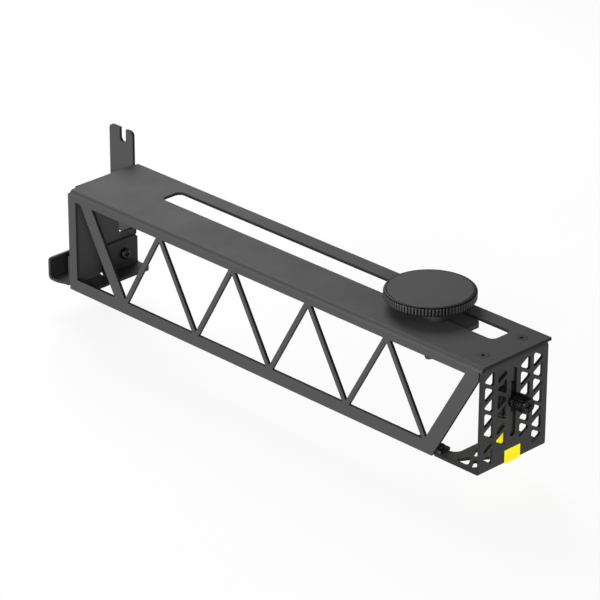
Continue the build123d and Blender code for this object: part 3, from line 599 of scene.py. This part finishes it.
# %% One kind of finish for all
def coated(name, colour, edge_colour, roughness, grain=5200.0, peel=900.0, relief=0.00003, wear_and_edge_light=0.5,
           edge_width=0.0003, metallic=0.0, specular=0.5, centre=None, sheets=None, cut_edge_shade=None,
           glow=0.0, land_highlight_colour=None):
    """A painted, plated, oxidised or moulded surface: grain, mottled shade, edges in their own colour and
    fine relief. The edge colour is wear on most pieces, a painted highlight on the knob and painted shade
    round the countersunk heads.

    centre adds lathe rings round that point, sheets gives the cut edges of those sheets a painted shade
    in their own colour, a land colour paints a highlight on the tops of a knurl's ribs and makes them
    metallic where the piece's attribute says so, and glow is a painted glow."""
    made = bpy.data.materials.new(name)
    made.use_nodes = True
    tree = made.node_tree
    shader = tree.nodes["Principled BSDF"]
    texture = place_effect(tree, powder, (-5, 0), Grain=grain, Peel=peel)
    edges = place_effect(tree, edge_wear_and_light, (-5, 2), Width=edge_width)
    shade, height = texture["Shade"], texture["Height"]
    if centre:
        marks = place_effect(tree, rings, (-6, 0), Centre_X=centre[0], Centre_Y=centre[1])
        shade = add(tree, "ShaderNodeMath", (-4, 0), {"operation": "MULTIPLY"}, i0=shade,
                    i1=marks["Shade"]).outputs[0]
        height = add(tree, "ShaderNodeMath", (-4, 1), {"operation": "ADD"}, i0=height,
                     i1=marks["Height"]).outputs[0]
    toned = add(tree, "ShaderNodeVectorMath", (-3, 0), {"operation": "SCALE"}, i0=colour[:3], Scale=shade)
    amount = add(tree, "ShaderNodeMath", (-3, 2), {"operation": "MULTIPLY"}, i0=edges["Mask"], i1=wear_and_edge_light)
    mixed = add(tree, "ShaderNodeMix", (-2, 0), {"data_type": "RGBA"}, i0=amount.outputs[0],
                i6=toned.outputs[0], i7=edge_colour)
    tint = mixed.outputs[2]
    if sheets:
        cut = cut_edges(tree, sheets)
        tint = add(tree, "ShaderNodeMix", (-1, 0), {"data_type": "RGBA"}, i0=cut, i6=tint,
                   i7=cut_edge_shade).outputs[2]
    tree.links.new(tint, shader.inputs["Base Color"])
    rough = add(tree, "ShaderNodeMath", (-2, 1), {"operation": "ADD"}, i0=texture["Roughness"], i1=roughness)
    tree.links.new(rough.outputs[0], shader.inputs["Roughness"])
    bump = add(tree, "ShaderNodeBump", (-2, 3), Distance=relief, Strength=1.0, Height=height,
               Normal=edges["Soft Normal"])
    tree.links.new(bump.outputs[0], shader.inputs["Normal"])
    shader.inputs["Metallic"].default_value = metallic
    if land_highlight_colour:
        land = add(tree, "ShaderNodeAttribute", (-3, 5), {"attribute_name": "land"}).outputs["Fac"]
        tint = add(tree, "ShaderNodeMix", (-1, 1), {"data_type": "RGBA"}, i0=land, i6=tint,
                   i7=land_highlight_colour).outputs[2]
        tree.links.new(tint, shader.inputs["Base Color"])
        tree.links.new(land, shader.inputs["Metallic"])
    shader.inputs["Specular IOR Level"].default_value = specular
    if glow:
        tree.links.new(tint, shader.inputs["Emission Color"])
        shader.inputs["Emission Strength"].default_value = glow
    return made


# %% Where each sheet's broad faces lie
X, Y, Z = 0, 1, 2
beam_low, beam_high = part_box("beam")
bracket_low, bracket_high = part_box("end_bracket")
top_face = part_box("glide_sheet")[0][Z]
end_plate_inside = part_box("clamp_plate")[0][X]
tab_outside = 0.0
beam_sheets = [(Z, top_face - SHEET / 2), (Y, beam_low[Y] + SHEET / 2), (X, end_plate_inside - SHEET / 2),
               (Y, tab_outside - SHEET / 2), (Z, beam_low[Z] + SHEET / 2)]
bracket_sheets = [(X, bracket_high[X] - SHEET / 2), (Z, bracket_high[Z] - SHEET / 2),
                  (Z, bracket_low[Z] + SHEET / 2)]
print("beam sheets, mm", [(axis, round(at / MM, 2)) for axis, at in beam_sheets])
print("bracket sheets, mm", [(axis, round(at / MM, 2)) for axis, at in bracket_sheets])

# %% Make a finish for each slot
disc_centre = (centre_x, centre_y)
# The third colour is the painted shade on the cut edges of the sheets.
COAT, COAT_EDGE, CUT_EDGE_SHADE = screen(77), screen(104), screen(20)
COAT_ROUGHNESS = 0.62
finishes = {
    "coated_sheet": coated("powder_coat", COAT, COAT_EDGE, COAT_ROUGHNESS),
    "dark_metal": coated("black_anodised", screen(50), screen(84), 0.45, grain=3000.0, relief=0.00001),
    "black_steel": coated("black_oxide", screen(11), screen(60), 0.3, grain=2500.0, relief=0.00001,
                          specular=0.3),
    "zinc_steel": coated("zinc_plate", screen(186, 188, 190), screen(214), 0.3, grain=1800.0,
                         relief=0.000008, metallic=1.0, wear_and_edge_light=0.3),
    "brass": coated("turned_brass", screen(208, 168, 88), screen(226, 194, 120), 0.28, relief=0.000008,
                    metallic=1.0, wear_and_edge_light=0.3),
    "grey_rubber": coated("pad_rubber", screen(90), screen(99), 0.7, grain=2600.0, wear_and_edge_light=0.2,
                          centre=disc_centre),
    # painted glow: the shoe's emission is light that the plastic doesn't give off, so that the yellow stays
    # bright in this low light.
    "yellow_plastic": coated("yellow_moulding", screen(255, 240, 20), screen(255, 250, 90), 0.42,
                             grain=1500.0, peel=500.0, relief=0.00001, wear_and_edge_light=0.25, glow=0.6),
    "black_plastic": coated("black_moulding", screen(24), screen(50), 0.5, relief=0.00001),
    # painted shade: the glide sheet is painted dark for the shadow under the carriage, though the slot is
    # pale nylon.
    "pale_nylon": coated("shaded_nylon_sheet", screen(30), screen(40), 0.5, relief=0.00001),
}
print("finishes", sorted(finishes))

# %% [markdown]
# Some pieces need a finish of their own. The two folded sheets need their own slabs for the cut edges.
# The hook and the clamp plate get a darker coat, painted shade for where they lie in the beam's shade,
# and the leg gets a lighter coat, painted light for the strip lit behind the perforations. The
# countersunk heads get a dark ring where they meet the plate, painted shade in that crease, through
# their edge colour. The hook screw and the stud are darkly plated.

# %% Make the finishes of single pieces
beam_coat = coated("beam_coat", COAT, COAT_EDGE, COAT_ROUGHNESS, sheets=beam_sheets, cut_edge_shade=CUT_EDGE_SHADE)
bracket_coat = coated("bracket_coat", COAT, COAT_EDGE, COAT_ROUGHNESS, sheets=bracket_sheets, cut_edge_shade=CUT_EDGE_SHADE)
# painted shade: the hook and the clamp plate are painted darker than the beam for the shade they lie in.
painted_shade_coat = coated("painted_shade_coat", screen(48), screen(70), 0.55)
# painted shade: the dark edge colour draws a ring of shade round each countersunk head where it meets the
# plate.
head_coat = coated("screw_head", screen(52), screen(11), 0.5, grain=2500.0, relief=0.00001, wear_and_edge_light=4.0,
                   edge_width=0.0004)
# painted light: the leg is painted lighter than the beam, for the light that reaches it through the
# perforations.
lit_leg_coat = coated("lit_leg_coat", screen(104), screen(120), 0.6)
# painted highlight: the light edge colour draws a bright line round the knob's edges.
knob_finish = coated("knob_black", screen(10), screen(100), 0.3, grain=2500.0, relief=0.00001, specular=0.35,
                     wear_and_edge_light=0.8)
dark_plate = coated("dark_plating", screen(70), screen(120), 0.35, grain=1800.0, relief=0.000008,
                    metallic=1.0)
# painted highlight: the tops of the ribs get a light colour as a painted highlight, and they are also made
# metallic.
puck_finish = coated("turned_black", screen(11), screen(24), 0.34, grain=3000.0, relief=0.000008, wear_and_edge_light=0.3,
                     edge_width=0.00015, specular=0.2, centre=disc_centre, land_highlight_colour=screen(118))
print("materials", len(bpy.data.materials))

# %% Give them out
slots = {part["node"]: part["material_slot"] for part in frame["record"]["subparts"]}


def dress(piece, finish):
    """Gives the piece that finish alone."""
    piece.data.materials.clear()
    piece.data.materials.append(finish)


for name, node in nodes.items():
    dress(node, finishes[slots[name]])
for piece, finish in (
        (nodes["beam"], beam_coat), (nodes["end_bracket"], bracket_coat),
        (nodes["hook_bracket"], painted_shade_coat), (nodes["clamp_plate"], painted_shade_coat),
        (nodes["bracket_screws"], head_coat), (nodes["clamp_bar"], finishes["coated_sheet"]),
        (puck, puck_finish), (pad, finishes["grey_rubber"]), (stud, dark_plate), (hook_screw, dark_plate),
        (arm_screw, finishes["black_steel"]), (knob, knob_finish), (nodes["leg"], lit_leg_coat),
        (shoe, finishes["yellow_plastic"])):
    dress(piece, finish)
print("dressed", len(nodes), "nodes")

# %% [markdown]
# ## Floor, light and camera
#
# The picture is a studio shot on white. The floor is a plain grey plane that glows for camera and mirror
# rays only, so it looks white, keeps a soft shadow, and throws little light up into the beam, whose
# inside is dark in the photograph. The leg slides down below the bracket, so the floor lies as deep as
# the leg reaches, and the foot never sinks into it.

# %% Lay the floor
FLOOR_SIZE = 6.0
FLOOR_ROOM = 0.1 * MM
FLOOR_SHADE, FLOOR_GLOW = 0.22, 0.86
MIRROR_SHARE = 0.5
leg_range = next(joint["range_m"] for joint in frame["record"]["behaviour"]["joints"]
                 if joint["name"] == "leg_slide")
floor_z = cad_box[0][2] + leg_range[0] - FLOOR_ROOM
half = FLOOR_SIZE / 2
floor_mesh = bpy.data.meshes.new("floor")
floor_mesh.from_pydata([(-half, -half, floor_z), (half, -half, floor_z), (half, half, floor_z),
                        (-half, half, floor_z)], [], [(0, 1, 2, 3)])
floor = bpy.data.objects.new("floor", floor_mesh)
bpy.context.scene.collection.objects.link(floor)
paper = bpy.data.materials.new("white_paper")
paper.use_nodes = True
tree = paper.node_tree
shader = tree.nodes["Principled BSDF"]
shader.inputs["Base Color"].default_value = (FLOOR_SHADE, FLOOR_SHADE, FLOOR_SHADE, 1)
shader.inputs["Roughness"].default_value = 0.9
shader.inputs["Specular IOR Level"].default_value = 0.1
seen = add(tree, "ShaderNodeLightPath", (-3, 0))
mirrored = add(tree, "ShaderNodeMath", (-2, 0), {"operation": "MULTIPLY"}, i0=seen.outputs["Is Glossy Ray"],
               i1=MIRROR_SHARE)
either = add(tree, "ShaderNodeMath", (-1, 0), {"operation": "MAXIMUM"}, i0=seen.outputs["Is Camera Ray"],
             i1=mirrored.outputs[0])
glow = add(tree, "ShaderNodeMath", (0, 0), {"operation": "MULTIPLY"}, i0=either.outputs[0], i1=FLOOR_GLOW)
shader.inputs["Emission Color"].default_value = (1, 1, 1, 1)
tree.links.new(glow.outputs[0], shader.inputs["Emission Strength"])
floor_mesh.materials.append(paper)
print("floor at", round(floor_z / MM, 2), "mm")

# %% [markdown]
# The world gives a low, even light. A lamp near the floor lights the truss wall, one beside the camera
# lights the perforated end, and one from behind puts a sheen on the top and draws the puck's shadow on
# it. Each lamp is placed by its azimuth and elevation, as the camera is.

# %% Light it
AMBIENT = 0.15
world = bpy.data.worlds.new("studio")
bpy.context.scene.world = world
world.use_nodes = True
tree = world.node_tree
background = tree.nodes["Background"]
background.inputs["Color"].default_value = (1, 1, 1, 1)
seen = add(tree, "ShaderNodeLightPath", (-3, 0))
level = add(tree, "ShaderNodeMapRange", (-2, 0), Value=seen.outputs["Is Camera Ray"], To_Min=AMBIENT,
            To_Max=1.0)
tree.links.new(level.outputs[0], background.inputs["Strength"])
TARGET = np.array([0.14336, -0.02549, -0.0277])


def from_side(azimuth, elevation):
    """The direction to that side: azimuth 0 is the truss side, 90 the far end."""
    a, e = math.radians(azimuth), math.radians(elevation)
    return Vector((math.sin(a) * math.cos(e), -math.cos(a) * math.cos(e), math.sin(e)))


def soft_box(name, azimuth, elevation, power, size, distance=1.2):
    """A square lamp that looks at the object from that side."""
    lamp = bpy.data.objects.new(name, bpy.data.lights.new(name, "AREA"))
    lamp.data.size = size
    lamp.data.energy = power
    lamp.location = Vector(TARGET) + from_side(azimuth, elevation) * distance
    lamp.rotation_mode = "QUATERNION"
    lamp.rotation_quaternion = (-from_side(azimuth, elevation)).to_track_quat("-Z", "Y")
    bpy.context.scene.collection.objects.link(lamp)
    print(f"{name} lamp: {power} W")


soft_box("key", -22, 6, 7.3, size=0.3)
soft_box("back", 241, 40, 1.5, size=0.35, distance=0.6)
soft_box("side", 50, 18, 5.3, size=0.3)

# %% Set the camera as the photograph was taken
AZIMUTH, ELEVATION, ROLL = 45.321, 25.401, 0.187
DISTANCE, FOCAL, SENSOR = 1.5334, 207.568, 36.0
back = from_side(AZIMUTH, ELEVATION)
camera = bpy.data.objects.new("camera", bpy.data.cameras.new("camera"))
camera.data.lens, camera.data.sensor_width = FOCAL, SENSOR
camera.data.clip_start, camera.data.clip_end = 0.05, 50
camera.location = Vector(TARGET) + back * DISTANCE
camera.rotation_mode = "QUATERNION"
camera.rotation_quaternion = (-back).to_track_quat("-Z", "Y") @ Quaternion((0, 0, 1), math.radians(ROLL))
bpy.context.scene.collection.objects.link(camera)
bpy.context.scene.camera = camera
bpy.context.scene.view_settings.view_transform = "Standard"
